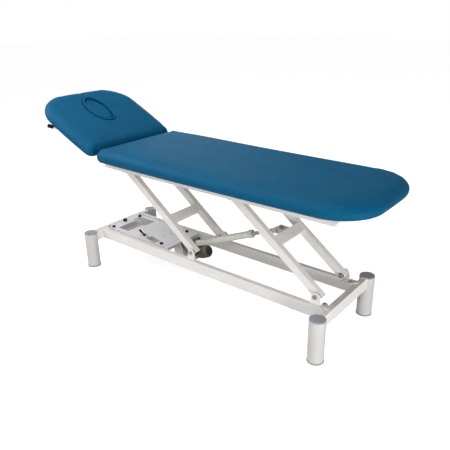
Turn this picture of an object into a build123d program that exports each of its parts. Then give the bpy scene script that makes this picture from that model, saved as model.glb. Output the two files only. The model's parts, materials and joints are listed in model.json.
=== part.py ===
"""Electric height-adjustable exam table: parallelogram lift, tilting headrest with face opening.

Millimetres, +Z up, +X towards the foot end, -Y is the patient's right-hand side.
The origin is on the floor, under the middle of the whole table.
"""
import os
from math import cos, radians, sin

from build123d import *

os.makedirs("parts", exist_ok=True)

# ---------------------------------------------------------------- driving dimensions
base_x = 58.75  # middle of the four legs, measured from the middle of the whole table
leg_dx = 775.0  # half the distance between the head legs and the foot legs
leg_dy = 248.0  # half the distance between the left legs and the right legs
leg_radius = 38.0
leg_wall = 3.0
pad_height = 8.0
leg_top = 212.0
cap_height = 6.0

beam_bottom = 157.0
beam_top = 217.0
beam_width = 30.0
rail_width = 25.0
rail_y = 152.5  # middle of a base rail
tube_wall = 2.5

lower_pivot_z = 254.0
head_pivot_x = base_x - 49.0
foot_pivot_x = base_x + 704.0
arm_length = 615.0  # pivot to pivot
arm_angle = 37.6  # arms above horizontal, leaning towards the head end
arm_depth = 40.0
arm_width = 30.0
arm_y = 117.5  # middle of an arm
arm_overhang = 18.0  # arm beyond each pivot
crossbar_length = 50.0
crossbar_depth = 30.0
crossbar_rise = 3.0  # crossbar above the arm's centre line

pin_radius = 6.0
running_gap = 0.05  # radial clearance of a pin in its bush
fit_gap = 0.1  # radial clearance of a piece pushed or slid into its bore
plug_gap = 0.2  # clearance all round a plug in a square tube
weld_foot = 2.0  # depth of the flat foot of a lug or bracket
open_pivot_gap = 0.2  # radial clearance at the pivots of the foot arms' upper ends
bracket_thickness = 8.0
bracket_y = 146.0
bracket_radius = 20.0

frame_bottom = 658.0
frame_top = 688.0
frame_tube = 30.0
frame_rail_y = 228.0
frame_wall = 2.0
frame_head_x = base_x - 571.0
frame_foot_x = base_x + 815.0

board_thickness = 12.0
cushion_thickness = 58.0
cushion_half_width = 310.0
cushion_head_x = base_x - 587.0
cushion_foot_x = base_x + 963.0
foot_corner = 196.0
head_corner = 40.0
top_edge = 28.0
bottom_edge = 20.0

headrest_angle = 26.0  # headrest above horizontal
hinge_x = base_x - 601.0
hinge_z = 675.5
headrest_start = 30.0  # cushion's hinge end, measured from the hinge along the headrest
headrest_length = 524.0
free_corner = 162.0
headrest_tube = 25.0
headrest_tube_y = 170.0
face_length = 226.0
face_width = 126.0

actuator_rear_x = base_x - 262.0
actuator_rear_z = 176.0
front_pin_t = 361.0  # actuator's front pin along the foot arm from its lower pivot
front_pin_n = -20.0  # and across it

gas_anchor_x = base_x - 250.0
gas_anchor_z = 640.0
gas_lug_s = 60.0  # gas spring's lug along the headrest
gas_lug_h = -70.0  # and below it
gas_lug_radius = 14.0

# ---------------------------------------------------------------- derived places
arm_dir = (-cos(radians(arm_angle)), 0, sin(radians(arm_angle)))
arm_normal = (sin(radians(arm_angle)), 0, cos(radians(arm_angle)))
upper_pivot_z = lower_pivot_z + arm_length * arm_dir[2]
head_upper_x = head_pivot_x + arm_length * arm_dir[0]
foot_upper_x = foot_pivot_x + arm_length * arm_dir[0]

front_pin_x = foot_pivot_x + front_pin_t * arm_dir[0] + front_pin_n * arm_normal[0]
front_pin_z = lower_pivot_z + front_pin_t * arm_dir[2] + front_pin_n * arm_normal[2]
actuator_line = Vector(front_pin_x - actuator_rear_x, 0, front_pin_z - actuator_rear_z)
actuator_length = actuator_line.length
actuator_dir = actuator_line.normalized()

tilt = radians(headrest_angle)
gas_lug_x = hinge_x - gas_lug_s * cos(tilt) + gas_lug_h * sin(tilt)
gas_lug_z = hinge_z + gas_lug_s * sin(tilt) + gas_lug_h * cos(tilt)
gas_line = Vector(gas_lug_x - gas_anchor_x, 0, gas_lug_z - gas_anchor_z)
gas_length = gas_line.length
gas_dir = gas_line.normalized()

board_bottom_h = frame_top - hinge_z  # the headrest's layers line up with the bed's when flat
cushion_bottom_h = board_bottom_h + board_thickness

# Side-view planes: local X and Y as named, local Z along the table's +Y.
head_arm_plane = Plane((head_pivot_x, 0, lower_pivot_z), x_dir=arm_dir, z_dir=(0, 1, 0))
foot_arm_plane = Plane((foot_pivot_x, 0, lower_pivot_z), x_dir=arm_dir, z_dir=(0, 1, 0))
headrest_plane = Plane((hinge_x, 0, hinge_z), x_dir=(-cos(tilt), 0, sin(tilt)), z_dir=(0, 1, 0))
side_plane = Plane((0, 0, 0), x_dir=(1, 0, 0), z_dir=(0, -1, 0))  # local X, Y are the table's X, Z
actuator_plane = Plane((actuator_rear_x, 0, actuator_rear_z), x_dir=actuator_dir, z_dir=(0, -1, 0))
actuator_axis = Plane((actuator_rear_x, 0, actuator_rear_z), x_dir=(0, 1, 0), z_dir=actuator_dir)
gas_axis = Plane((gas_anchor_x, 0, gas_anchor_z), x_dir=(0, 1, 0), z_dir=gas_dir)


def save(builder, name):
    """Label a finished piece and write it as its own STEP file."""
    builder.part.label = name
    export_step(builder.part, f"parts/{name}.step")


def headrest_face(height):
    """Plane parallel to the headrest at a height above its hinge line: local X along it, Y across."""
    origin = headrest_plane.from_local_coords((0, height, 0))
    return Plane(origin, x_dir=headrest_plane.x_dir, z_dir=headrest_plane.y_dir)


# ---------------------------------------------------------------- base: legs, caps, pads
leg_places = {
    "head_left": (base_x - leg_dx, leg_dy),
    "head_right": (base_x - leg_dx, -leg_dy),
    "foot_left": (base_x + leg_dx, leg_dy),
    "foot_right": (base_x + leg_dx, -leg_dy),
}
leg_bore = leg_radius - leg_wall

for corner, place in leg_places.items():
    with BuildPart() as leg:
        with BuildSketch(Plane.XY.offset(pad_height)):
            with Locations(place):
                Circle(leg_radius)
                Circle(leg_bore, mode=Mode.SUBTRACT)
        extrude(amount=leg_top - pad_height)
    save(leg, f"leg_{corner}")

cap_plug_depth = 16.0
with BuildPart() as leg_caps:
    with BuildSketch(Plane.XY.offset(leg_top)):
        with Locations(*leg_places.values()):
            Circle(leg_radius)
    extrude(amount=cap_height)
    chamfer(leg_caps.faces().sort_by(Axis.Z)[-4:].edges(), length=1.5)
    with BuildSketch(Plane.XY.offset(leg_top)):
        with Locations(*leg_places.values()):
            Circle(leg_bore - fit_gap)
    extrude(amount=-cap_plug_depth)
save(leg_caps, "leg_caps")

pad_radius = 39.5
with BuildPart() as foot_pads:
    with BuildSketch():
        with Locations(*leg_places.values()):
            Circle(pad_radius)
    extrude(amount=pad_height)
    chamfer(foot_pads.faces().sort_by(Axis.Z)[-4:].edges(), length=1.4)
    with BuildSketch(Plane.XY.offset(pad_height)):
        with Locations(*leg_places.values()):
            Circle(leg_bore - fit_gap)
    extrude(amount=cap_plug_depth)
save(foot_pads, "foot_pads")

# ---------------------------------------------------------------- base: rails, beams, cross tube
beam_height = beam_top - beam_bottom
beam_mid_z = (beam_top + beam_bottom) / 2

for end, x in (("head", base_x - leg_dx), ("foot", base_x + leg_dx)):
    with BuildPart() as crossbeam:
        with BuildSketch(side_plane):
            with Locations((x, beam_mid_z)):
                Rectangle(beam_width, beam_height)
                Rectangle(beam_width - 2 * tube_wall, beam_height - 2 * tube_wall, mode=Mode.SUBTRACT)
        extrude(amount=leg_dy, both=True)
        with BuildSketch(Plane.XY.offset(beam_bottom)):
            with Locations((x, leg_dy), (x, -leg_dy)):
                Circle(leg_radius)
        extrude(amount=beam_height, mode=Mode.SUBTRACT)
    save(crossbeam, f"crossbeam_{end}")

rail_half_length = leg_dx - beam_width / 2
for side, y in (("left", rail_y), ("right", -rail_y)):
    with BuildPart() as side_rail:
        with BuildSketch(Plane.YZ.offset(base_x)):
            with Locations((y, beam_mid_z)):
                Rectangle(rail_width, beam_height)
                Rectangle(rail_width - 2 * tube_wall, beam_height - 2 * tube_wall, mode=Mode.SUBTRACT)
        extrude(amount=rail_half_length, both=True)
    save(side_rail, f"side_rail_{side}")

cover_thickness = 3.0
cover_bottom = beam_top - cover_thickness
cross_tube_height = 50.0
cross_tube_x = actuator_rear_x - 53.0
rail_inner_y = rail_y - rail_width / 2
with BuildPart() as actuator_cross_tube:
    with BuildSketch(side_plane):
        with Locations((cross_tube_x, cover_bottom - cross_tube_height / 2)):
            Rectangle(beam_width, cross_tube_height)
            Rectangle(beam_width - 2 * tube_wall, cross_tube_height - 2 * tube_wall, mode=Mode.SUBTRACT)
    extrude(amount=rail_inner_y, both=True)
save(actuator_cross_tube, "actuator_cross_tube")

# ---------------------------------------------------------------- base: pivot brackets
bracket_planes = [side_plane.offset(y - bracket_thickness / 2) for y in (bracket_y, -bracket_y)]
lower_bracket_foot = 52.0
with BuildPart() as lower_brackets:
    for plane in bracket_planes:
        for x in (head_pivot_x, foot_pivot_x):
            with BuildSketch(plane):
                with Locations((x, lower_pivot_z)):
                    Circle(bracket_radius)
                with Locations((x, beam_top + weld_foot / 2)):
                    Rectangle(lower_bracket_foot, weld_foot)
                make_hull()
                with Locations((x, lower_pivot_z)):
                    Circle(pin_radius + running_gap, mode=Mode.SUBTRACT)
            extrude(amount=bracket_thickness)
save(lower_brackets, "lower_brackets")

# ---------------------------------------------------------------- pivot bolts
bolt_head_radius = 12.0
bolt_head_thickness = 8.0
bush_flange = 2.0
bush_radius = 9.0
bush_flange_radius = 14.0
arm_inner_y = arm_y - arm_width / 2
arm_outer_y = arm_y + arm_width / 2
bush_inner_y = arm_inner_y - bush_flange
bush_outer_y = arm_outer_y + bush_flange
side_gap = 0.4  # between a bush and the bolt's faces
shoulder_radius = 10.0
bracket_inner_y = bracket_y - bracket_thickness / 2
bracket_outer_y = bracket_y + bracket_thickness / 2
nut_thickness = 9.0
nut_radius = 10.5
bolt_tip = 3.0


def pivot_bolt(x, z, side):
    """Turned shoulder bolt with its domed nut, along Y, head on the inner side of the arm."""
    head_y = bush_inner_y - side_gap
    shoulder_y = bush_outer_y + side_gap
    with BuildPart() as bolt:
        for start, end, radius in (
            (head_y - bolt_head_thickness, head_y, bolt_head_radius),
            (head_y, shoulder_y, pin_radius),
            (shoulder_y, bracket_inner_y, shoulder_radius),
            (bracket_inner_y, bracket_outer_y, pin_radius),
            (bracket_outer_y, bracket_outer_y + nut_thickness, nut_radius),
            (bracket_outer_y + nut_thickness, bracket_outer_y + nut_thickness + bolt_tip, pin_radius),
        ):
            with BuildSketch(side_plane.offset(-side * start)):
                with Locations((x, z)):
                    Circle(radius)
            extrude(amount=-side * (end - start))
        with BuildSketch(side_plane.offset(-side * (head_y - bolt_head_thickness))):
            with Locations((x, z)):
                RegularPolygon(5.0, 6)
        extrude(amount=-side * 4.0, mode=Mode.SUBTRACT)
    return bolt.part


with BuildPart() as lower_pivot_bolts:
    for x in (head_pivot_x, foot_pivot_x):
        for side in (1, -1):
            add(pivot_bolt(x, lower_pivot_z, side))
save(lower_pivot_bolts, "lower_pivot_bolts")

# ---------------------------------------------------------------- base: cover plate and screws
cover_head_x = base_x - 758.0
cover_foot_x = base_x - 245.0
cover_half_width = 138.0
cover_middle_x = (cover_head_x + cover_foot_x) / 2
screw_places = [(base_x + x, y) for x in (-727.0, -315.0) for y in (107.0, -107.0)]
knob_place = (base_x - 745.0, 0.0)
screw_radius = 3.0
screw_gap = 0.2
with BuildPart() as cover_plate:
    with BuildSketch(Plane.XY.offset(cover_bottom)):
        with Locations((cover_middle_x, 0)):
            Rectangle(cover_foot_x - cover_head_x, 2 * cover_half_width)
        with Locations(*screw_places, knob_place):
            Circle(screw_radius + screw_gap, mode=Mode.SUBTRACT)
    extrude(amount=cover_thickness)
save(cover_plate, "cover_plate")

cap_screw_radius = 10.0
cap_screw_height = 8.0
knob_radius = 12.5
knob_height = 14.0
with BuildPart() as cover_cap_screws:
    for places, radius, height in (
        (screw_places, cap_screw_radius, cap_screw_height),
        ([knob_place], knob_radius, knob_height),
    ):
        with BuildSketch(Plane.XY.offset(beam_top)):
            with Locations(*places):
                Circle(radius)
        extrude(amount=height)
    fillet(cover_cap_screws.faces().filter_by(Axis.Z).sort_by(Axis.Z)[-5:].edges(), radius=2.5)
    with BuildSketch(Plane.XY.offset(beam_top)):
        with Locations(*screw_places, knob_place):
            Circle(screw_radius)
    extrude(amount=-cover_thickness)
save(cover_cap_screws, "cover_cap_screws")

gusset_radius = 14.0
gusset_thickness = 3.0
screw_head_radius = 7.0
screw_head_height = 6.0
rear_plate_y = 17.0
rear_plate_thickness = 6.0
rear_bolt_radius = 6.0
gusset_foot = 14.0
corner_screw_x = 744.0
corner_screw_y = 128.0
gusset_foot_x = 769.0
gusset_foot_y = 152.0
rear_head_y = rear_plate_y + rear_plate_thickness
rear_head_height = 7.0
rear_head_radius = 10.0
screw_hex_radius = 3.0
with BuildPart() as base_screws:
    for end in (1, -1):
        for side in (1, -1):
            with BuildSketch(Plane.XY.offset(beam_top)):
                with Locations((base_x + end * corner_screw_x, side * corner_screw_y)):
                    Circle(gusset_radius)
                with Locations((base_x + end * gusset_foot_x, side * gusset_foot_y)):
                    Rectangle(gusset_foot, gusset_foot)
                make_hull()
            extrude(amount=gusset_thickness)
            with BuildSketch(Plane.XY.offset(beam_top + gusset_thickness)):
                with Locations((base_x + end * corner_screw_x, side * corner_screw_y)):
                    Circle(screw_head_radius)
                    RegularPolygon(screw_hex_radius, 6, mode=Mode.SUBTRACT)
            extrude(amount=screw_head_height)
    for side in (1, -1):
        for start, end, radius in (
            (rear_plate_y, rear_head_y, rear_bolt_radius),
            (rear_head_y, rear_head_y + rear_head_height, rear_head_radius),
        ):
            with BuildSketch(side_plane.offset(-side * start)):
                with Locations((actuator_rear_x, actuator_rear_z)):
                    Circle(radius)
            extrude(amount=-side * (end - start))
save(base_screws, "base_screws")

# ---------------------------------------------------------------- base: lock lever on the cover
lock_x = base_x - 475.0
lock_y = -88.0
lock_base_length = 56.0
lock_base_width = 26.0
lock_base_height = 4.0
lock_post_radius = 6.0
with BuildPart() as lock_lever_base:
    with BuildSketch(Plane.XY.offset(beam_top)):
        with Locations((lock_x, lock_y)):
            RectangleRounded(lock_base_length, lock_base_width, 6)
    extrude(amount=lock_base_height)
save(lock_lever_base, "lock_lever_base")

lock_gap = 0.3
lock_hub_wall = 3.0
lock_lever_thickness = 7.0
with BuildPart() as lock_lever:
    with BuildSketch(Plane.XY.offset(beam_top + lock_base_height + lock_gap)):
        with Locations((lock_x, lock_y)):
            Circle(lock_post_radius + lock_hub_wall)
    extrude(amount=lock_lever_thickness)
    with BuildSketch(side_plane.offset(-lock_y - lock_lever_thickness / 2)):
        with BuildLine():
            Polyline(
                (lock_x + 4, beam_top + lock_base_height + 2),
                (lock_x - 34, beam_top + 32),
                (lock_x - 42, beam_top + 30),
                (lock_x - 40, beam_top + 22),
                (lock_x - 4, beam_top + lock_base_height + 2),
                close=True,
            )
        make_face()
    extrude(amount=7.0)
save(lock_lever, "lock_lever")

# ---------------------------------------------------------------- base: control box
box_x = base_x - 570.0
box_length = 320.0
box_width = 200.0
box_top = cover_bottom
box_bottom = 161.0
box_wall = 2.5
inlet_width = 30.0
inlet_height = 22.0
inlet_depth = 19.0
inlet_z = 186.0
inlet_face_x = box_x + box_length / 2
with BuildPart() as control_box:
    with BuildSketch(Plane.XY.offset(box_bottom)):
        with Locations((box_x, 0)):
            Rectangle(box_length, box_width)
    extrude(amount=box_top - box_bottom)
    with BuildSketch(Plane.XY.offset(box_bottom + box_wall)):
        with Locations((box_x, 0)):
            Rectangle(box_length - 2 * box_wall, box_width - 2 * box_wall)
    extrude(amount=box_top - box_bottom, mode=Mode.SUBTRACT)
save(control_box, "control_box")

inlet_flange = 3.0
inlet_wall = 3.0
with BuildPart() as mains_inlet:
    with BuildSketch(Plane.YZ.offset(inlet_face_x)):
        with Locations((0, inlet_z)):
            RectangleRounded(inlet_width + 14, inlet_height + 6, 4)
    extrude(amount=inlet_flange)
    with BuildSketch(Plane.YZ.offset(inlet_face_x)):
        with Locations((0, inlet_z)):
            Rectangle(inlet_width, inlet_height)
    extrude(amount=inlet_depth)
    with BuildSketch(Plane.YZ.offset(inlet_face_x + inlet_depth)):
        with Locations((0, inlet_z)):
            Rectangle(inlet_width - 2 * inlet_wall, inlet_height - 2 * inlet_wall)
    extrude(amount=inlet_wall - inlet_depth, mode=Mode.SUBTRACT)
save(mains_inlet, "mains_inlet")

# ---------------------------------------------------------------- base: actuator's rear bracket
rear_plate_back_x = cross_tube_x + beam_width / 2
rear_plate_front_x = actuator_rear_x + 34.0
rear_plate_bottom = 104.0
rear_plate_top = 210.0
with BuildPart() as actuator_bracket:
    for y in (rear_plate_y, -rear_plate_y - rear_plate_thickness):
        with BuildSketch(side_plane.offset(-y - rear_plate_thickness)):
            with BuildLine():
                Polyline(
                    (rear_plate_back_x, rear_plate_top),
                    (rear_plate_front_x - 26, rear_plate_top),
                    (rear_plate_front_x, rear_plate_top - 34),
                    (rear_plate_front_x, rear_plate_bottom + 16),
                    (rear_plate_front_x - 16, rear_plate_bottom),
                    (rear_plate_back_x + 14, rear_plate_bottom),
                    (rear_plate_back_x, cover_bottom - cross_tube_height),
                    close=True,
                )
            make_face()
            with Locations((actuator_rear_x, actuator_rear_z)):
                Circle(rear_bolt_radius + running_gap, mode=Mode.SUBTRACT)
        extrude(amount=rear_plate_thickness)
save(actuator_bracket, "actuator_bracket")

# ---------------------------------------------------------------- lift arms
arm_inside = (arm_depth - 2 * tube_wall, arm_width - 2 * tube_wall)
arm_tube_length = arm_length + 2 * arm_overhang


def arm_set(set_name, plane, crossbar_t, bush_bores):
    """One pair of arms: two tubes, the crossbar between them, the pivot bushes and the end plugs."""
    for side, y in (("left", arm_y), ("right", -arm_y)):
        with BuildPart() as arm:
            with BuildSketch(plane.offset(y)):
                with Locations((arm_length / 2, 0)):
                    Rectangle(arm_tube_length, arm_depth)
            extrude(amount=arm_width / 2, both=True)
            with BuildSketch(plane.offset(y)):
                with Locations((arm_length / 2, 0)):
                    Rectangle(arm_tube_length, arm_inside[0])
            extrude(amount=arm_inside[1] / 2, both=True, mode=Mode.SUBTRACT)
            with BuildSketch(plane.offset(y)):
                with Locations((0, 0), (arm_length, 0)):
                    Circle(bush_radius)
            extrude(amount=arm_width, both=True, mode=Mode.SUBTRACT)
        save(arm, f"{set_name}_{side}")

    with BuildPart() as crossbar:
        with BuildSketch(plane):
            with Locations((crossbar_t, crossbar_rise)):
                Rectangle(crossbar_length, crossbar_depth)
                Rectangle(crossbar_length - 2 * tube_wall, crossbar_depth - 2 * tube_wall, mode=Mode.SUBTRACT)
        extrude(amount=arm_inner_y, both=True)
    save(crossbar, f"{set_name}_crossbar")

    with BuildPart() as bushes:
        for t, bore in zip((0, arm_length), bush_bores):
            for y in (arm_y, -arm_y):
                with BuildSketch(plane.offset(y)):
                    with Locations((t, 0)):
                        Circle(bush_radius)
                        Circle(bore, mode=Mode.SUBTRACT)
                extrude(amount=arm_width / 2 + bush_flange, both=True)
                for face_y in (y + arm_width / 2, y - arm_width / 2 - bush_flange):
                    with BuildSketch(plane.offset(face_y)):
                        with Locations((t, 0)):
                            Circle(bush_flange_radius)
                            Circle(bush_radius, mode=Mode.SUBTRACT)
                    extrude(amount=bush_flange)
    save(bushes, f"{set_name}_bushes")

    plug_flange = 2.0
    plug_depth = 8.0
    with BuildPart() as plugs:
        for end, outward in ((-arm_overhang, -1), (arm_length + arm_overhang, 1)):
            for y in (arm_y, -arm_y):
                with BuildSketch(plane.offset(y)):
                    with Locations((end + outward * plug_flange / 2, 0)):
                        Rectangle(plug_flange, arm_depth)
                extrude(amount=arm_width / 2, both=True)
                with BuildSketch(plane.offset(y)):
                    with Locations((end - outward * plug_depth / 2, 0)):
                        Rectangle(plug_depth, arm_inside[0] - 2 * plug_gap)
                extrude(amount=arm_inside[1] / 2 - plug_gap, both=True)
    save(plugs, f"{set_name}_plugs")


running_bore = pin_radius + running_gap
open_bore = pin_radius + open_pivot_gap
head_crossbar_t = 220.0
foot_crossbar_t = 308.0
arm_set("head_arm", head_arm_plane, head_crossbar_t, (running_bore, running_bore))
arm_set("foot_arm", foot_arm_plane, foot_crossbar_t, (running_bore, open_bore))

# ---------------------------------------------------------------- actuator: front lugs and pin
front_lug_y = 17.0
front_lug_thickness = 8.0
front_lug_radius = 16.0
crossbar_upper_t = foot_crossbar_t + crossbar_length / 2
with BuildPart() as actuator_lugs:
    for y in (front_lug_y, -front_lug_y - front_lug_thickness):
        with BuildSketch(foot_arm_plane.offset(y)):
            with Locations((front_pin_t, front_pin_n)):
                Circle(front_lug_radius)
            with Locations((crossbar_upper_t + weld_foot / 2, crossbar_rise)):
                Rectangle(weld_foot, crossbar_depth - weld_foot)
            make_hull()
            with Locations((front_pin_t, front_pin_n)):
                Circle(running_bore, mode=Mode.SUBTRACT)
        extrude(amount=front_lug_thickness)
save(actuator_lugs, "actuator_lugs")

front_lug_outer_y = front_lug_y + front_lug_thickness
front_pin_head = 6.0
front_pin_head_radius = 10.0
with BuildPart() as actuator_front_pin:
    with BuildSketch(foot_arm_plane):
        with Locations((front_pin_t, front_pin_n)):
            Circle(pin_radius)
    extrude(amount=front_lug_outer_y, both=True)
    for y in (front_lug_outer_y, -front_lug_outer_y - front_pin_head):
        with BuildSketch(foot_arm_plane.offset(y)):
            with Locations((front_pin_t, front_pin_n)):
                Circle(front_pin_head_radius)
        extrude(amount=front_pin_head)
save(actuator_front_pin, "actuator_front_pin")

# ---------------------------------------------------------------- actuator: rod
rod_radius = 10.0
eye_radius = 15.0
eye_half_width = 15.0
rod_start = 300.0  # rod's inner end, measured from the rear eye
rod_end_s = actuator_length - 30.0
with BuildPart() as actuator_rod:
    with BuildSketch(actuator_axis.offset(rod_start)):
        Circle(rod_radius)
    extrude(amount=rod_end_s - rod_start)
save(actuator_rod, "actuator_rod")

eye_neck_length = 30.0
eye_neck_height = 24.0
with BuildPart() as rod_eye:
    with BuildSketch(actuator_plane):
        with Locations((actuator_length, 0)):
            Circle(eye_radius)
        with Locations((actuator_length - eye_neck_length / 2, 0)):
            Rectangle(eye_neck_length, eye_neck_height)
    extrude(amount=eye_half_width, both=True)
    with BuildSketch(actuator_plane):
        with Locations((actuator_length, 0)):
            Circle(running_bore)
    extrude(amount=eye_half_width, both=True, mode=Mode.SUBTRACT)
save(rod_eye, "rod_eye")

# ---------------------------------------------------------------- actuator: tube, housing, motor
housing_start = 60.0
housing_end = 140.0
housing_low = -80.0
housing_high = 28.0
housing_half_width = 33.0
outer_radius = 18.5
outer_wall = 3.0
collar_start = 534.0
collar_end = 556.0
collar_radius = 22.0
with BuildPart() as actuator_tube:
    with BuildSketch(actuator_axis.offset(housing_end)):
        Circle(outer_radius)
        Circle(outer_radius - outer_wall, mode=Mode.SUBTRACT)
    extrude(amount=collar_start - housing_end)
save(actuator_tube, "actuator_tube")

with BuildPart() as actuator_collar:
    with BuildSketch(actuator_axis.offset(collar_start)):
        Circle(collar_radius)
        Circle(rod_radius + fit_gap, mode=Mode.SUBTRACT)
    extrude(amount=collar_end - collar_start)
    chamfer(actuator_collar.edges().filter_by(GeomType.CIRCLE).sort_by(SortBy.RADIUS)[-2:], length=1.5)
save(actuator_collar, "actuator_collar")

rear_eye_radius = 15.0
rear_eye_half_width = 15.0
housing_corner = 12.0
housing_overlap = 4.0  # rear eye runs into the housing
with BuildPart() as gear_housing:
    with BuildSketch(actuator_plane):
        with Locations(((housing_start + housing_end) / 2, (housing_low + housing_high) / 2)):
            RectangleRounded(housing_end - housing_start, housing_high - housing_low, housing_corner)
    extrude(amount=housing_half_width, both=True)
    with BuildSketch(actuator_plane):
        Circle(rear_eye_radius)
        with Locations(((housing_start + housing_overlap) / 2, 0)):
            Rectangle(housing_start + housing_overlap, 2 * rear_eye_radius)
    extrude(amount=rear_eye_half_width, both=True)
save(gear_housing, "gear_housing")

motor_radius = 34.0
motor_drop = -53.0
motor_end = 206.0
motor_center = actuator_plane.from_local_coords((housing_end, motor_drop, 0))
motor_plane = Plane(motor_center, x_dir=(0, 1, 0), z_dir=actuator_dir)
with BuildPart() as motor:
    with BuildSketch(motor_plane):
        Circle(motor_radius)
    extrude(amount=motor_end - housing_end)
    fillet(motor.faces().sort_by(Axis.X)[-1].edges(), radius=7)
save(motor, "motor")

# ---------------------------------------------------------------- top frame
frame_mid_z = (frame_bottom + frame_top) / 2
frame_inside = frame_tube - 2 * frame_wall
for side, y in (("left", frame_rail_y), ("right", -frame_rail_y)):
    with BuildPart() as top_rail:
        with BuildSketch(Plane.YZ.offset(frame_head_x)):
            with Locations((y, frame_mid_z)):
                Rectangle(frame_tube, frame_tube)
                Rectangle(frame_inside, frame_inside, mode=Mode.SUBTRACT)
        extrude(amount=frame_foot_x - frame_head_x)
    save(top_rail, f"top_rail_{side}")

frame_inner_y = frame_rail_y - frame_tube / 2
wide_tube = 60.0
gas_lug_thickness = 5.0
gas_lug_y = 12.0
gas_pin_radius = 4.0
cross_tubes = (
    (frame_head_x + wide_tube / 2, wide_tube),
    (gas_anchor_x, frame_tube),
    (foot_upper_x, wide_tube),
    (frame_foot_x - frame_tube / 2, frame_tube),
)
gas_anchor_lug_radius = 12.0
with BuildPart() as top_cross_tubes:
    for x, width in cross_tubes:
        with BuildSketch(side_plane):
            with Locations((x, frame_mid_z)):
                Rectangle(width, frame_tube)
                Rectangle(width - 2 * frame_wall, frame_inside, mode=Mode.SUBTRACT)
        extrude(amount=frame_inner_y, both=True)
    for y in (gas_lug_y, -gas_lug_y - gas_lug_thickness):
        with BuildSketch(side_plane.offset(-y - gas_lug_thickness)):
            with Locations((gas_anchor_x, gas_anchor_z)):
                Circle(gas_anchor_lug_radius)
            with Locations((gas_anchor_x, frame_bottom + frame_wall / 2)):
                Rectangle(frame_tube, frame_wall)
            make_hull()
        extrude(amount=gas_lug_thickness)
    with BuildSketch(side_plane):
        with Locations((gas_anchor_x, gas_anchor_z)):
            Circle(gas_pin_radius)
    extrude(amount=gas_lug_y + gas_lug_thickness, both=True)
save(top_cross_tubes, "top_cross_tubes")

upper_bracket_top = 50.0
upper_bracket_reach = 26.0
upper_bracket_rise = 4.0
upper_bracket_toe = 12.0
with BuildPart() as upper_brackets:
    for plane in bracket_planes:
        for x in (head_upper_x, foot_upper_x):
            with BuildSketch(plane):
                with Locations((x, upper_pivot_z)):
                    Circle(bracket_radius)
                with Locations((x - upper_bracket_reach, upper_pivot_z + upper_bracket_rise)):
                    Circle(upper_bracket_toe)
                with Locations((x, frame_bottom - weld_foot / 2)):
                    Rectangle(upper_bracket_top, weld_foot)
                make_hull()
                with Locations((x, upper_pivot_z)):
                    Circle(running_bore, mode=Mode.SUBTRACT)
            extrude(amount=bracket_thickness)
save(upper_brackets, "upper_brackets")

with BuildPart() as upper_pivot_bolts:
    for x in (head_upper_x, foot_upper_x):
        for side in (1, -1):
            add(pivot_bolt(x, upper_pivot_z, side))
save(upper_pivot_bolts, "upper_pivot_bolts")

end_plug_flange = 3.0
end_plug_depth = 12.0
with BuildPart() as rail_end_plugs:
    for x, inward in ((frame_head_x, 1), (frame_foot_x, -1)):
        for size, length, direction in (
            (frame_tube, end_plug_flange, -inward),
            (frame_inside - 2 * plug_gap, end_plug_depth, inward),
        ):
            with BuildSketch(Plane.YZ.offset(x)):
                with Locations((frame_rail_y, frame_mid_z), (-frame_rail_y, frame_mid_z)):
                    Rectangle(size, size)
            extrude(amount=direction * length)
save(rail_end_plugs, "rail_end_plugs")


# ---------------------------------------------------------------- boards and cushions
def bed_outline(inset):
    """Outline of the bed seen from above: square-ish at the head end, well rounded at the foot."""
    half_width = cushion_half_width - inset
    head_x = cushion_head_x + inset
    foot_x = cushion_foot_x - inset
    with BuildSketch() as outline:
        with Locations(((head_x + foot_x) / 2, 0)):
            Rectangle(foot_x - head_x, 2 * half_width)
        fillet(outline.vertices().sort_by(Axis.X)[:2], head_corner)
        fillet(outline.vertices().sort_by(Axis.X)[-2:], foot_corner - inset)
    return outline.sketch


def headrest_outline(start, length, half_width, corner):
    """Outline of the headrest in its own plane: rounded at its free end."""
    with BuildSketch() as outline:
        with Locations((start + length / 2, 0)):
            Rectangle(length, 2 * half_width)
        fillet(outline.vertices().sort_by(Axis.X)[:2], head_corner)
        fillet(outline.vertices().sort_by(Axis.X)[-2:], corner)
    return outline.sketch


board_inset = 45.0
with BuildPart() as bed_board:
    with BuildSketch(Plane.XY.offset(frame_top)):
        add(bed_outline(board_inset))
    extrude(amount=board_thickness)
save(bed_board, "bed_board")

with BuildPart() as bed_cushion:
    with BuildSketch(Plane.XY.offset(frame_top + board_thickness)):
        add(bed_outline(0))
    extrude(amount=cushion_thickness)
    fillet(bed_cushion.faces().sort_by(Axis.Z)[-1].edges(), radius=top_edge)
    fillet(bed_cushion.faces().sort_by(Axis.Z)[0].edges(), radius=bottom_edge)
save(bed_cushion, "bed_cushion")

face_middle = 358.0
face_lip = 9.0
board_start = headrest_start + 25.0
board_length = headrest_length - 70.0
board_corner = 130.0
face_gap = 1.5
with BuildPart() as headrest_board:
    with BuildSketch(headrest_face(board_bottom_h)):
        add(headrest_outline(board_start, board_length, cushion_half_width - board_inset, board_corner))
        with Locations((face_middle, 0)):
            Ellipse(face_length / 2 - face_lip, face_width / 2 - face_lip, mode=Mode.SUBTRACT)
    extrude(amount=board_thickness)
save(headrest_board, "headrest_board")

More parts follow.
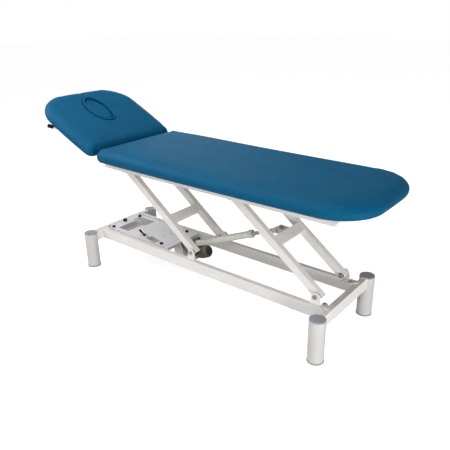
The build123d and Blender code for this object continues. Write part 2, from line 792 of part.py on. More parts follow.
headrest_up = Axis(headrest_plane.origin, headrest_plane.y_dir)
with BuildPart() as headrest_cushion:
    with BuildSketch(headrest_face(cushion_bottom_h)):
        add(headrest_outline(headrest_start, headrest_length, cushion_half_width, free_corner))
    extrude(amount=cushion_thickness)
    fillet(headrest_cushion.faces().sort_by(headrest_up)[-1].edges(), radius=top_edge)
    fillet(headrest_cushion.faces().sort_by(headrest_up)[0].edges(), radius=bottom_edge)
    with BuildSketch(headrest_face(cushion_bottom_h)):
        with Locations((face_middle, 0)):
            Ellipse(face_length / 2, face_width / 2)
    extrude(amount=cushion_thickness, mode=Mode.SUBTRACT)
save(headrest_cushion, "headrest_cushion")

plug_recess = 4.0
plug_base_gap = 0.3
plug_edge = 6.0
with BuildPart() as face_plug:
    with BuildSketch(headrest_face(cushion_bottom_h + plug_base_gap)):
        with Locations((face_middle, 0)):
            Ellipse(face_length / 2 - face_gap, face_width / 2 - face_gap)
    extrude(amount=cushion_thickness - plug_recess - plug_base_gap)
    fillet(face_plug.faces().sort_by(headrest_up)[-1].edges(), radius=plug_edge)
save(face_plug, "face_plug")

# ---------------------------------------------------------------- headrest frame and hinge
hinge_plate_thickness = 6.0
hinge_plate_radius = 14.0
hinge_side_gap = 0.5
hinge_pin_radius = 5.0
tube_inner_y = headrest_tube_y - headrest_tube / 2
tube_outer_y = headrest_tube_y + headrest_tube / 2
plate_ys = (tube_outer_y + hinge_side_gap, tube_inner_y - hinge_side_gap - hinge_plate_thickness)
with BuildPart() as headrest_hinge_plates:
    for plate_y in plate_ys:
        for y in (plate_y, -plate_y - hinge_plate_thickness):
            with BuildSketch(side_plane.offset(-y - hinge_plate_thickness)):
                with Locations((hinge_x, hinge_z)):
                    Circle(hinge_plate_radius)
                with Locations((frame_head_x - weld_foot / 2, frame_mid_z)):
                    Rectangle(weld_foot, frame_tube - weld_foot)
                make_hull()
                with Locations((hinge_x, hinge_z)):
                    Circle(hinge_pin_radius + running_gap, mode=Mode.SUBTRACT)
            extrude(amount=hinge_plate_thickness)
save(headrest_hinge_plates, "headrest_hinge_plates")

pin_start = plate_ys[1] - 3
pin_stop = plate_ys[0] + hinge_plate_thickness
with BuildPart() as headrest_hinge_pins:
    for side in (1, -1):
        for start, end, radius in (
            (pin_start, pin_stop, hinge_pin_radius),
            (pin_stop, pin_stop + 4, 8.0),
        ):
            with BuildSketch(side_plane.offset(-side * start)):
                with Locations((hinge_x, hinge_z)):
                    Circle(radius)
            extrude(amount=-side * (end - start))
save(headrest_hinge_pins, "headrest_hinge_pins")

headrest_tube_end = 470.0
headrest_tube_middle = (headrest_tube_end - board_bottom_h) / 2
headrest_tube_length = headrest_tube_end + board_bottom_h
lever_s = 110.0
lever_h = -27.0
lever_radius = 6.0
lever_lug_half = 10.0
lever_lug_radius = 12.0
lever_lug_foot = 28.0
for side, y in (("left", headrest_tube_y), ("right", -headrest_tube_y)):
    with BuildPart() as headrest_side_tube:
        with BuildSketch(headrest_plane.offset(y)):
            with Locations((headrest_tube_middle, 0)):
                Rectangle(headrest_tube_length, 2 * board_bottom_h)
        extrude(amount=headrest_tube / 2, both=True)
        with BuildSketch(headrest_plane.offset(y)):
            with Locations((headrest_tube_middle, 0)):
                Rectangle(headrest_tube_length, 2 * (board_bottom_h - frame_wall))
        extrude(amount=headrest_tube / 2 - frame_wall, both=True, mode=Mode.SUBTRACT)
        with BuildSketch(headrest_plane.offset(y)):
            Circle(hinge_pin_radius + running_gap)
        extrude(amount=headrest_tube, both=True, mode=Mode.SUBTRACT)
        if side == "right":
            with BuildSketch(headrest_plane.offset(y)):
                with Locations((lever_s, lever_h)):
                    Circle(lever_lug_radius)
                with Locations((lever_s, -board_bottom_h - weld_foot / 2)):
                    Rectangle(lever_lug_foot, weld_foot)
                make_hull()
                with Locations((lever_s, lever_h)):
                    Circle(lever_radius + running_gap, mode=Mode.SUBTRACT)
            extrude(amount=lever_lug_half, both=True)
    save(headrest_side_tube, f"headrest_tube_{side}")

with BuildPart() as headrest_crossbar:
    with BuildSketch(headrest_plane):
        with Locations((gas_lug_s, 0)):
            Rectangle(headrest_tube, 2 * board_bottom_h)
            Rectangle(headrest_tube - 2 * frame_wall, 2 * (board_bottom_h - frame_wall), mode=Mode.SUBTRACT)
    extrude(amount=tube_inner_y, both=True)
    for y in (gas_lug_y, -gas_lug_y - gas_lug_thickness):
        with BuildSketch(headrest_plane.offset(y)):
            with Locations((gas_lug_s, gas_lug_h)):
                Circle(gas_lug_radius)
            with Locations((gas_lug_s, -board_bottom_h - weld_foot / 2)):
                Rectangle(headrest_tube, weld_foot)
            make_hull()
        extrude(amount=gas_lug_thickness)
save(headrest_crossbar, "headrest_crossbar")

# ---------------------------------------------------------------- gas spring
gas_eye_radius = 9.0
gas_eye_half_width = 9.0
gas_barrel_radius = 11.0
gas_barrel_wall = 2.0
gas_barrel_end = 270.0
gas_rod_radius = 5.0
gas_piston_start = 100.0
gas_anchor_side = Plane((gas_anchor_x, 0, gas_anchor_z), x_dir=gas_dir, z_dir=(0, -1, 0))
gas_end_wall = 4.0
gas_bore_start = 12.0
gas_gland = 6.0
gas_eye_depth = 12.0
gas_piston_gap = 0.3
gas_piston_length = 12.0
with BuildPart() as gas_spring_barrel:
    with BuildSketch(gas_axis.offset(gas_eye_radius + gas_end_wall)):
        Circle(gas_barrel_radius)
    extrude(amount=gas_barrel_end - gas_eye_radius - gas_end_wall)
    with BuildSketch(gas_axis.offset(gas_eye_radius + gas_bore_start)):
        Circle(gas_barrel_radius - gas_barrel_wall)
    extrude(amount=gas_barrel_end - gas_eye_radius - gas_bore_start - gas_end_wall, mode=Mode.SUBTRACT)
    with BuildSketch(gas_axis.offset(gas_barrel_end - gas_gland)):
        Circle(gas_rod_radius + fit_gap)
    extrude(amount=gas_gland, mode=Mode.SUBTRACT)
    with BuildSketch(gas_anchor_side):
        Circle(gas_eye_radius)
        with Locations((gas_eye_radius, 0)):
            Rectangle(2 * gas_eye_radius, gas_eye_depth)
    extrude(amount=gas_eye_half_width, both=True)
    with BuildSketch(gas_anchor_side):
        Circle(gas_pin_radius + running_gap)
    extrude(amount=gas_eye_half_width, both=True, mode=Mode.SUBTRACT)
save(gas_spring_barrel, "gas_spring_barrel")

with BuildPart() as gas_spring_rod:
    with BuildSketch(gas_axis.offset(gas_piston_start)):
        Circle(gas_barrel_radius - gas_barrel_wall - gas_piston_gap)
    extrude(amount=gas_piston_length)
    with BuildSketch(gas_axis.offset(gas_piston_start)):
        Circle(gas_rod_radius)
    extrude(amount=gas_length - gas_piston_start)
    with BuildSketch(gas_anchor_side):
        with Locations((gas_length, 0)):
            Circle(gas_eye_radius)
    extrude(amount=gas_eye_half_width, both=True)
save(gas_spring_rod, "gas_spring_rod")

# ---------------------------------------------------------------- headrest release lever
lever_y = 215.0
lever_inner_y = 140.0
lever_bend_s = 360.0
lever_tip_s = 412.0
lever_tip_y = 262.0
lever_level = headrest_face(lever_h)
with BuildPart() as release_lever:
    with BuildLine(lever_level) as lever_path:
        FilletPolyline(
            (lever_s, lever_inner_y),
            (lever_s, lever_y),
            (lever_bend_s, lever_y),
            (lever_tip_s, lever_tip_y),
            radius=18,
        )
    with BuildSketch(Plane(lever_path.line @ 0, z_dir=lever_path.line % 0)):
        Circle(lever_radius)
    sweep()
save(release_lever, "release_lever")

tip_length = 34.0
tip_radius = 11.0
lever_end = lever_path.line @ 1
lever_end_dir = lever_path.line % 1
with BuildPart() as lever_grip:
    with BuildSketch(Plane(lever_end, z_dir=lever_end_dir)):
        Circle(tip_radius)
    extrude(amount=tip_length)
    fillet(lever_grip.edges().filter_by(GeomType.CIRCLE), radius=4)
save(lever_grip, "lever_grip")
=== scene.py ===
"""Looks of the medical exam table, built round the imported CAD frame."""

import json
import math

import bmesh
import bpy
import numpy as np
from mathutils import Matrix, Vector


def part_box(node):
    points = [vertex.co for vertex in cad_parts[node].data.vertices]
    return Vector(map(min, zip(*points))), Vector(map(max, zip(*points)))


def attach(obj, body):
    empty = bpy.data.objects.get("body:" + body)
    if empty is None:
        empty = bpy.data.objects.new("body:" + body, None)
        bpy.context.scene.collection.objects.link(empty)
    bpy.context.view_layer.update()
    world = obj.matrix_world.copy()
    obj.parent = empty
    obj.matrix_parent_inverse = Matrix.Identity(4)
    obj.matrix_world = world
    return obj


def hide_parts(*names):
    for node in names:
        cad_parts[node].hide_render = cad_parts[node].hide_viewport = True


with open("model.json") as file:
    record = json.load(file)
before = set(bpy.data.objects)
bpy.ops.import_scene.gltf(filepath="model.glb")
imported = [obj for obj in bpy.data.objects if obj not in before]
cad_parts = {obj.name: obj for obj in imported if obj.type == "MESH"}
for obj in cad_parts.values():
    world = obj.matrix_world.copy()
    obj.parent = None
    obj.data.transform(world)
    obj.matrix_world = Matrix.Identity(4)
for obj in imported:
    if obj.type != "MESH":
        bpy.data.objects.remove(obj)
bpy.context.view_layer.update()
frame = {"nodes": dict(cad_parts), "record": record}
nodes = frame["nodes"]
scene = bpy.context.scene

# ---------------------------------------------------------------- main dimensions, metres
BED_TOP = 0.758
HINGE = Vector((-0.54225, 0.0, 0.6755))
TILT = math.radians(26.0)
HEAD_ALONG = Vector((-math.cos(TILT), 0.0, math.sin(TILT)))
HEAD_NORMAL = Vector((math.sin(TILT), 0.0, math.cos(TILT)))
FACE_ALONG, FACE_TOP = 0.358, 0.0825
FACE_LONG, FACE_SHORT = 0.113, 0.063
PAD_THICK = 0.058
HALF_WIDTH = 0.31
BED_LOW_X, BED_HIGH_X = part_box("bed_cushion")[0].x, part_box("bed_cushion")[1].x
SIDE_BOW = 0.011  # how far the long sides of both cushions bulge
HEAD_LOW_S, HEAD_HIGH_S = 0.030, 0.554
BASE_X = 0.05875
ACROSS = Vector((0.0, 1.0, 0.0))
SIDES = (("left", 1), ("right", -1))

SHARP_ANGLE = math.radians(32.0)
ALL_SMOOTH = math.pi


def headrest_point(along, across, height):
    """A point of the tilted headrest, from its hinge."""
    return HINGE + HEAD_ALONG * along + HEAD_NORMAL * height + Vector((0.0, across, 0.0))


# ---------------------------------------------------------------- node materials
class Look:
    """One procedural material, built from a few kinds of node."""

    def __init__(self, name, metallic=0.0, specular=0.5):
        self.material = bpy.data.materials.new(name)
        self.material.use_nodes = True
        self.tree = self.material.node_tree
        self.shader = self.tree.nodes["Principled BSDF"]
        self.shader.inputs["Metallic"].default_value = metallic
        self.shader.inputs["Specular IOR Level"].default_value = specular
        self.place = self.tree.nodes.new("ShaderNodeTexCoord").outputs["Object"]

    def link(self, a, b):
        self.tree.links.new(a, b)

    def mapped(self, scale, turn):
        node = self.tree.nodes.new("ShaderNodeMapping")
        node.inputs["Scale"].default_value = scale
        node.inputs["Rotation"].default_value = turn
        self.link(self.place, node.inputs["Vector"])
        return node.outputs["Vector"]

    def noise(self, scale, detail=3.0, rough=0.5, place=None):
        node = self.tree.nodes.new("ShaderNodeTexNoise")
        node.inputs["Scale"].default_value = scale
        node.inputs["Detail"].default_value = detail
        node.inputs["Roughness"].default_value = rough
        self.link(place or self.place, node.inputs["Vector"])
        return node.outputs["Fac"]

    def cells(self, scale):
        node = self.tree.nodes.new("ShaderNodeTexVoronoi")
        node.feature = "DISTANCE_TO_EDGE"
        node.inputs["Scale"].default_value = scale
        self.link(self.place, node.inputs["Vector"])
        return node.outputs["Distance"]

    def wave(self, scale, place):
        node = self.tree.nodes.new("ShaderNodeTexWave")
        node.inputs["Scale"].default_value = scale
        self.link(place, node.inputs["Vector"])
        return node.outputs["Fac"]

    def range(self, value, low, high, out_low, out_high):
        node = self.tree.nodes.new("ShaderNodeMapRange")
        for key, number in (
            ("From Min", low),
            ("From Max", high),
            ("To Min", out_low),
            ("To Max", out_high),
        ):
            node.inputs[key].default_value = number
        self.link(value, node.inputs["Value"])
        return node.outputs["Result"]

    def ramp(self, value, *stops):
        node = self.tree.nodes.new("ShaderNodeValToRGB")
        steps = node.color_ramp.elements
        while len(steps) < len(stops):
            steps.new(0.5)
        for step, (at, color) in zip(steps, stops):
            step.position = at
            step.color = (*color, 1.0)
        self.link(value, node.inputs["Fac"])
        return node.outputs["Color"]

    def multiply(self, a, b, amount):
        node = self.tree.nodes.new("ShaderNodeMix")
        node.data_type = "RGBA"
        node.blend_type = "MULTIPLY"
        node.inputs["Factor"].default_value = amount
        self.link(a, node.inputs[6])
        self.link(b, node.inputs[7])
        return node.outputs[2]

    def color(self, value):
        self.link(value, self.shader.inputs["Base Color"])

    def roughness(self, value):
        self.link(value, self.shader.inputs["Roughness"])

    def bumps(self, *layers):
        """Stacks (height, distance in metres) layers of bump."""
        normal = None
        for height, distance in layers:
            node = self.tree.nodes.new("ShaderNodeBump")
            node.inputs["Strength"].default_value = 1.0
            node.inputs["Distance"].default_value = distance
            self.link(height, node.inputs["Height"])
            if normal:
                self.link(normal, node.inputs["Normal"])
            normal = node.outputs["Normal"]
        self.link(normal, self.shader.inputs["Normal"])


def tinted(color, factor):
    return tuple(min(1.0, c * factor) for c in color)


def powder_coat(name, color):
    """Powder coat: orange peel, faint speckle, slightly duller patches."""
    look = Look(name, specular=0.45)
    patches = look.noise(9.0, 3.0)
    base = look.ramp(patches, (0.3, tinted(color, 0.965)), (0.7, tinted(color, 1.02)))
    speckle = look.noise(1900.0, 2.0, 0.7)
    speck = look.ramp(speckle, (0.28, (0.9, 0.9, 0.9)), (0.42, (1.0, 1.0, 1.0)))
    look.color(look.multiply(base, speck, 0.6))
    look.roughness(look.range(look.noise(35.0, 4.0), 0.3, 0.7, 0.34, 0.46))
    look.bumps((look.noise(520.0, 2.0), 0.00012), (speckle, 0.00002))
    return look.material


def upholstery(name, color, crease_shade):
    """Upholstery vinyl: small leather-like pebbles with painted shade darkening the creases between them,
    broad mottling, rubbed sheen.
    """
    look = Look(name, specular=0.08)
    wobble = look.noise(210.0, 2.0)
    pebbles = look.cells(720.0)
    grain = look.range(pebbles, 0.0, 0.16, 0.0, 1.0)
    mottle = look.noise(14.0, 4.0, 0.6)
    fine = look.noise(170.0, 5.0, 0.75)
    base = look.ramp(mottle, (0.3, tinted(color, 0.9)), (0.72, tinted(color, 1.1)))
    fleck = look.ramp(fine, (0.33, (0.6, 0.74, 0.8)), (0.66, (1.0, 1.0, 1.0)))
    # painted shade: the creases between the pebbles are coloured darker
    lines = look.ramp(grain, (0.0, crease_shade), (0.6, (1.0, 1.0, 1.0)))
    look.color(look.multiply(look.multiply(base, fleck, 0.8), lines, 0.75))
    look.roughness(look.range(grain, 0.0, 1.0, 0.62, 0.47))
    look.bumps((wobble, 0.0003), (grain, 0.00013), (fine, 0.00005))
    return look.material


def moulded(name, color, rough=0.5, texture=650.0, depth=0.00008, specular=0.45):
    """Moulded plastic or rubber with a spark-eroded texture."""
    look = Look(name, specular=specular)
    base = look.ramp(look.noise(22.0, 3.0), (0.3, tinted(color, 0.9)), (0.7, tinted(color, 1.1)))
    pits = look.noise(texture, 3.0, 0.7)
    shade = look.ramp(pits, (0.3, (0.82, 0.82, 0.82)), (0.65, (1.0, 1.0, 1.0)))
    look.color(look.multiply(base, shade, 0.7))
    look.roughness(look.range(pits, 0.3, 0.7, rough + 0.08, rough - 0.06))
    look.bumps((pits, depth),)
    return look.material


def metal(name, color, rough, streak=(1, 1, 1), depth=0.00002, turn=(0, 0, 0), metallic=1.0):
    """Bare or plated metal: fine streaks along one direction and cloudy patches."""
    look = Look(name, metallic=metallic)
    lay = look.mapped(streak, turn)
    lines = look.noise(900.0, 2.0, 0.6, lay)
    cloud = look.noise(60.0, 4.0, 0.6)
    base = look.ramp(cloud, (0.3, tinted(color, 0.88)), (0.7, tinted(color, 1.08)))
    shade = look.ramp(lines, (0.3, (0.86, 0.86, 0.86)), (0.7, (1.0, 1.0, 1.0)))
    look.color(look.multiply(base, shade, 0.7))
    look.roughness(look.range(lines, 0.3, 0.7, rough + 0.07, rough - 0.05))
    look.bumps((lines, depth),)
    return look.material


def plywood(name, color, turn):
    """Sealed plywood: long grain on the faces, thin plies on the edges."""
    look = Look(name, specular=0.35)
    flat = look.mapped((1, 1, 1), turn)
    stretched = look.mapped((2.2, 30.0, 30.0), turn)
    grain = look.noise(6.0, 6.0, 0.65, stretched)
    split = look.tree.nodes.new("ShaderNodeSeparateXYZ")
    look.link(flat, split.inputs["Vector"])
    join = look.tree.nodes.new("ShaderNodeCombineXYZ")
    look.link(split.outputs["Z"], join.inputs["X"])
    plies = look.wave(185.0, join.outputs["Vector"])
    base = look.ramp(grain, (0.25, tinted(color, 0.68)), (0.5, color), (0.8, tinted(color, 1.14)))
    layer = look.ramp(plies, (0.35, (0.62, 0.55, 0.5)), (0.55, (1.0, 1.0, 1.0)))
    look.color(look.multiply(base, layer, 0.55))
    look.roughness(look.range(grain, 0.3, 0.7, 0.6, 0.48))
    look.bumps((grain, 0.00018),)
    return look.material


WHITE = (0.735, 0.715, 0.695)
BLUE = (0.001, 0.096, 0.198)
# colour multiplied into the pebble creases of the vinyl: painted shade
CREASE_SHADE = (0.62, 0.68, 0.74)
WOOD = (0.47, 0.35, 0.23)
COVER_WHITE = (0.72, 0.72, 0.75)
# factor that darkens the white coat on the legs: painted shade, so they come out dimmer under the lamps
LEG_PAINTED_SHADE = 0.74
ALLOY_TURN = math.radians(22.9)  # the streaks run along the actuator at rest

looks = {
    "frame_paint": powder_coat("powder_coat_white", WHITE),
    "vinyl": upholstery("vinyl_blue", BLUE, CREASE_SHADE),
    "board": plywood("plywood_flat", WOOD, (0.0, 0.0, 0.0)),
    "cap_grey": moulded("plastic_cap_grey", (0.31, 0.325, 0.355), 0.46),
    "black_plastic": moulded("plastic_black", (0.006, 0.006, 0.007), 0.5, specular=0.2),
    "pad_rubber": moulded("rubber_pad", (0.3, 0.29, 0.3), 0.68, 420.0, 0.00015),
    "zinc": metal("steel_zinc_plated", (0.46, 0.46, 0.45), 0.36),
    "chrome": metal("steel_chrome", (0.5, 0.505, 0.52), 0.13, depth=0.000004),
    "actuator_alloy": metal(
        "alloy_satin", (0.74, 0.72, 0.69), 0.48, (0.06, 1.0, 1.0), turn=(0, ALLOY_TURN, 0), metallic=0.35
    ),
    "collar_plastic": moulded("plastic_light_grey", (0.6, 0.58, 0.54), 0.45),
    "motor_plastic": moulded("plastic_brown_grey", (0.15, 0.14, 0.12), 0.5, 500.0, 0.00014),
    "bush_plastic": moulded("nylon_dark", (0.06, 0.06, 0.06), 0.4),
    "gas_black": powder_coat("enamel_black", (0.02, 0.02, 0.021)),
}
headrest_board_look = plywood("plywood_tilted", WOOD, (0.0, TILT, 0.0))


def smooth_normals(mesh, angle):
    mesh.polygons.foreach_set("use_smooth", [True] * len(mesh.polygons))
    mesh.set_sharp_from_angle(angle=angle)


def paint(obj, look):
    obj.data.materials.clear()
    obj.data.materials.append(look)


node_slots = {s["node"]: s["material_slot"] for s in frame["record"]["subparts"]}
for name, node in nodes.items():
    paint(node, looks[node_slots[name]])
paint(nodes["headrest_board"], headrest_board_look)
# the legs get a darker copy of the same white powder coat: painted shade, not a different paint
shaded_leg_look = powder_coat("powder_coat_legs_painted_shade", tinted(WHITE, LEG_PAINTED_SHADE))
for name in nodes:
    if name.startswith("leg_") and node_slots[name] == "frame_paint":
        paint(nodes[name], shaded_leg_look)
paint(nodes["cover_plate"], powder_coat("powder_coat_cover", COVER_WHITE))

GUSSET_TOP = 0.2205  # the painted gussets lie below it, the bare screw heads above
corner_plates = nodes["base_screws"]
corner_plates.data.materials.append(looks["frame_paint"])
for face in corner_plates.data.polygons:
    point = corner_plates.matrix_world @ face.center
    face.material_index = int(point.z < GUSSET_TOP)


# ---------------------------------------------------------------- making pieces
def add(name, mesh, look, body, smooth=SHARP_ANGLE):
    obj = bpy.data.objects.new(name, mesh)
    scene.collection.objects.link(obj)
    paint(obj, look)
    smooth_normals(mesh, smooth)
    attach(obj, body)
    return obj


def mesh_from(name, verts, faces):
    mesh = bpy.data.meshes.new(name)
    mesh.from_pydata([tuple(v) for v in verts], [], faces)
    work = bmesh.new()
    work.from_mesh(mesh)
    bmesh.ops.recalc_face_normals(work, faces=work.faces)
    work.to_mesh(mesh)
    work.free()
    return mesh


def skin(name, rings, closed=False):
    """A closed mesh through equal rings of points: a row of them with end caps, or a loop."""
    count, sides = len(rings), len(rings[0])
    faces = []
    for i in range(count if closed else count - 1):
        here, onward = i * sides, (i + 1) % count * sides
        for k in range(sides):
            side = (k + 1) % sides
            faces.append((here + k, here + side, onward + side, onward + k))
    if not closed:
        faces.append(tuple(reversed(range(sides))))
        faces.append(tuple((count - 1) * sides + k for k in range(sides)))
    return mesh_from(name, [point for ring in rings for point in ring], faces)


def circle(sides, squash=1.0):
    """Unit circle as (out, up) pairs."""
    turns = [2 * math.pi * k / sides for k in range(sides)]
    return [(math.cos(a), math.sin(a) * squash) for a in turns]


def evaluated_mesh(obj):
    graph = bpy.context.evaluated_depsgraph_get()
    return bpy.data.meshes.new_from_object(obj.evaluated_get(graph))


# ---------------------------------------------------------------- cushions
def coords(mesh):
    points = np.zeros(len(mesh.vertices) * 3)
    mesh.vertices.foreach_get("co", points)
    return points.reshape(-1, 3)


def set_coords(mesh, points):
    mesh.vertices.foreach_set("co", points.ravel())
    mesh.update()


def round_over(depth, reach, share):
    """1 well inside, falling along a quarter ellipse to share at the edge."""
    t = np.clip(depth / reach, 0.0, 1.0)
    return share + (1.0 - share) * np.sqrt(np.clip(1.0 - (1.0 - t) ** 2, 0.0, 1.0))


def inside_box(along, across, low, high, half, low_corner, high_corner):
    """Distance inside a rounded rectangle, with one corner radius at each end."""
    middle, reach = (low + high) / 2, (high - low) / 2
    corner = np.where(along > middle, high_corner, low_corner)
    qx = np.abs(along - middle) - reach + corner
    qy = np.abs(across) - half + corner
    outer = np.hypot(np.maximum(qx, 0.0), np.maximum(qy, 0.0))
    return corner - outer - np.minimum(np.maximum(qx, qy), 0.0)


# Lengths are metres, shares have no unit.
EDGE_REACH, EDGE_SHARE = 0.06, 0.58
HINGE_CORNER, FOOT_CORNER, FREE_CORNER = 0.04, 0.196, 0.162
BED_WALL, BED_HINGE_REACH, BED_HINGE_SHARE = 0.026, 0.05, 0.85
HEAD_WALL, HEAD_HINGE_REACH, HEAD_HINGE_SHARE = 0.02, 0.1, 0.66
CROWN_SHARE, CROWN_REACH = 0.1, 0.12
SWELL_SHARE, SWELL_PLACE, SWELL_WIDTH = 0.12, 0.2, 0.38
CORNER_PULL, CORNER_REACH = 0.006, 0.06
FOOT_START, FOOT_BULGE = 0.6, 0.008
FREE_START, FREE_BULGE = 0.3, 0.013
PLUG_CROWN = 0.003


def softened(rise, wall, soft):
    """Heights over the base, with what lies above the straight side wall scaled down."""
    return np.where(rise > wall, wall + (rise - wall) * soft, rise)


def bowed(across, share, power):
    """Places across, with the long sides bulging most in the middle of their length."""
    bulge = np.sign(across) * np.abs(across / HALF_WIDTH) * SIDE_BOW * np.sin(math.pi * share) ** power
    return across + bulge


def end_bulge(along, across, start, high, bulge):
    """How far the free end bulges: nothing at start, the most at high on the centre line."""
    share = np.clip((along - start) / (high - start), 0.0, 1.0)
    return bulge * share * np.cos(np.clip(across / HALF_WIDTH, -1, 1) * math.pi / 2)


def bed_form(points):
    """Bowed sides and foot, a soft edge all round and a softer one at the head end."""
    x, y, z = points.T.copy()
    low, high = BED_LOW_X, BED_HIGH_X
    base = BED_TOP - PAD_THICK
    depth = inside_box(x, y, low, high, HALF_WIDTH, HINGE_CORNER, FOOT_CORNER)
    soft = round_over(depth, EDGE_REACH, EDGE_SHARE) * round_over(x - low, BED_HINGE_REACH, BED_HINGE_SHARE)
    crown = 1.0 + CROWN_SHARE * np.clip(depth / CROWN_REACH, 0.0, 1.0) ** 0.5
    crown = crown * (1.0 + SWELL_SHARE * np.exp(-(((x - low - SWELL_PLACE) / SWELL_WIDTH) ** 2)))
    pulled = np.abs(y / HALF_WIDTH) ** 5 * np.exp(-(x - low) / CORNER_REACH)
    x = x + CORNER_PULL * pulled
    z = base + softened(z - base, BED_WALL, soft) * crown
    y = bowed(y, np.clip((x - low) / (high - low), 0.0, 1.0), 0.8)
    x = x + end_bulge(x, y, FOOT_START, high, FOOT_BULGE)
    return np.stack([x, y, z], axis=1)


def headrest_frame(points):
    """Each point's distance along the headrest and height over it, from the hinge."""
    offset = points - np.array(HINGE)
    return offset @ np.array(HEAD_ALONG), offset @ np.array(HEAD_NORMAL)


def head_form(points):
    """Bowed free end and sides, and a long round-over down to the hinge side."""
    along, height = headrest_frame(points)
    across = points[:, 1].copy()
    low, high = HEAD_LOW_S, HEAD_HIGH_S
    base = FACE_TOP - PAD_THICK
    depth = inside_box(along, across, low, high, HALF_WIDTH, HINGE_CORNER, FREE_CORNER)
    hinge_side = round_over(along - low, HEAD_HINGE_REACH, HEAD_HINGE_SHARE)
    soft = round_over(depth, EDGE_REACH, EDGE_SHARE) * hinge_side
    new_height = base + softened(height - base, HEAD_WALL, soft)
    new_across = bowed(across, np.clip((along - low) / (high - low), 0.0, 1.0), 0.7)
    new_along = along + end_bulge(along, new_across, FREE_START, high, FREE_BULGE)
    return (
        points
        + np.outer(new_along - along, np.array(HEAD_ALONG))
        + np.outer(new_height - height, np.array(HEAD_NORMAL))
        + np.outer(new_across - points[:, 1], np.array(ACROSS))
    )


def plug_form(points):
    """A crowned plug."""
    along, height = headrest_frame(points)
    out = np.clip(np.hypot((along - FACE_ALONG) / FACE_LONG, points[:, 1] / FACE_SHORT), 0.0, 1.0)
    top = np.clip((height - (FACE_TOP - PAD_THICK)) / PAD_THICK, 0.0, 1.0)
    return points + np.outer(PLUG_CROWN * (1.0 - out ** 2) * top, np.array(HEAD_NORMAL))


def remeshed(obj, voxel):
    """An even mesh of the object, lightly smoothed."""
    remesh = obj.modifiers.new("remesh", "REMESH")
    remesh.mode = "VOXEL"
    remesh.voxel_size = voxel
    soften = obj.modifiers.new("soften", "SMOOTH")
    soften.factor = 0.5
    soften.iterations = 2
    mesh = evaluated_mesh(obj)
    obj.modifiers.clear()
    return mesh


HELD_HEIGHT = 0.003  # thickness of the bottom layer that the simulation holds still
CLOTH_FRAMES = 16
STILL = 1e-9  # a shorter move than this counts as none


def blow_up(obj, cap, up):
    """Blows the object up as cloth and applies the swelling, with no point moved further than cap."""
    start = coords(obj.data)
    height = start @ np.array(up)
    held = np.nonzero(height < height.min() + HELD_HEIGHT)[0]
    group = obj.vertex_groups.new(name="held")
    group.add([int(i) for i in held], 1.0, "REPLACE")
    cloth = obj.modifiers.new("cloth", "CLOTH")
    settings = cloth.settings
    settings.use_pressure = True
    settings.uniform_pressure_force = 5.0
    settings.effector_weights.gravity = 0.0
    settings.quality = 3
    settings.vertex_group_mass = "held"
    settings.tension_stiffness = 6.0
    settings.compression_stiffness = 6.0
    settings.shear_stiffness = 4.0
    settings.bending_stiffness = 0.3
    for step in range(1, CLOTH_FRAMES + 1):
        scene.frame_set(step)
    end = coords(evaluated_mesh(obj))
    obj.modifiers.clear()
    scene.frame_set(1)
    move = end - start
    reach = np.linalg.norm(move, axis=1, keepdims=True)
    scale = np.where(reach > STILL, cap * np.tanh(reach / cap) / np.maximum(reach, STILL), 0.0)
    set_coords(obj.data, start + move * scale)


def cloth_pad(name, node, voxel, cap, form, up):
    """A stuffed piece from a soft CAD solid: remeshed, formed, blown up and divided once."""
    obj = bpy.data.objects.new(name, nodes[node].data.copy())
    scene.collection.objects.link(obj)
    even = remeshed(obj, voxel)
    set_coords(even, form(coords(even)))
    obj.data = even
    blow_up(obj, cap, up)
    divide = obj.modifiers.new("divide", "SUBSURF")
    divide.levels = divide.render_levels = 1
    final = evaluated_mesh(obj)
    obj.modifiers.clear()
    obj.data = final
    obj.vertex_groups.clear()
    paint(obj, looks["vinyl"])
    smooth_normals(final, ALL_SMOOTH)
    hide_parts(node)
    return obj


up_flat = (0.0, 0.0, 1.0)
up_head = tuple(HEAD_NORMAL)
bed_pad = cloth_pad("bed_cushion_padded", "bed_cushion", 0.008, 0.005, bed_form, up_flat)
head_pad = cloth_pad("headrest_cushion_padded", "headrest_cushion", 0.006, 0.004, head_form, up_head)
plug_pad = cloth_pad("face_plug_padded", "face_plug", 0.0035, 0.002, plug_form, up_head)
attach(bed_pad, "bed_frame")
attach(head_pad, "headrest")
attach(plug_pad, "face_plug")


# ---------------------------------------------------------------- roll sewn round the face opening
ROLL_STEPS, ROLL_SIDES = 96, 12


def face_roll(name, grow, height, radius, squash):
    """An elliptical roll round the face opening of the headrest."""
    rings = []
    for along, across in circle(ROLL_STEPS):
        middle = headrest_point(
            FACE_ALONG + (FACE_LONG + grow) * along, (FACE_SHORT + grow) * across, height
        )
        out = HEAD_ALONG * (along * FACE_SHORT) + Vector((0.0, across * FACE_LONG, 0.0))
        out.normalize()
        section = circle(ROLL_SIDES, squash)
        rings.append([middle + (out * a + HEAD_NORMAL * b) * radius for a, b in section])
    return skin(name, rings, closed=True)


ROLL_GROW, ROLL_RISE, ROLL_RADIUS, ROLL_SQUASH = 0.005, 0.005, 0.0055, 0.75
roll_mesh = face_roll("face_opening_roll", ROLL_GROW, FACE_TOP + ROLL_RISE, ROLL_RADIUS, ROLL_SQUASH)
ring = add("face_opening_roll", roll_mesh, looks["vinyl"], "headrest", ALL_SMOOTH)

# ---------------------------------------------------------------- cover plate: labels, black strips painted as shade along the edge gaps and the fold, small screws
SLAB_CHAMFER = 0.0004


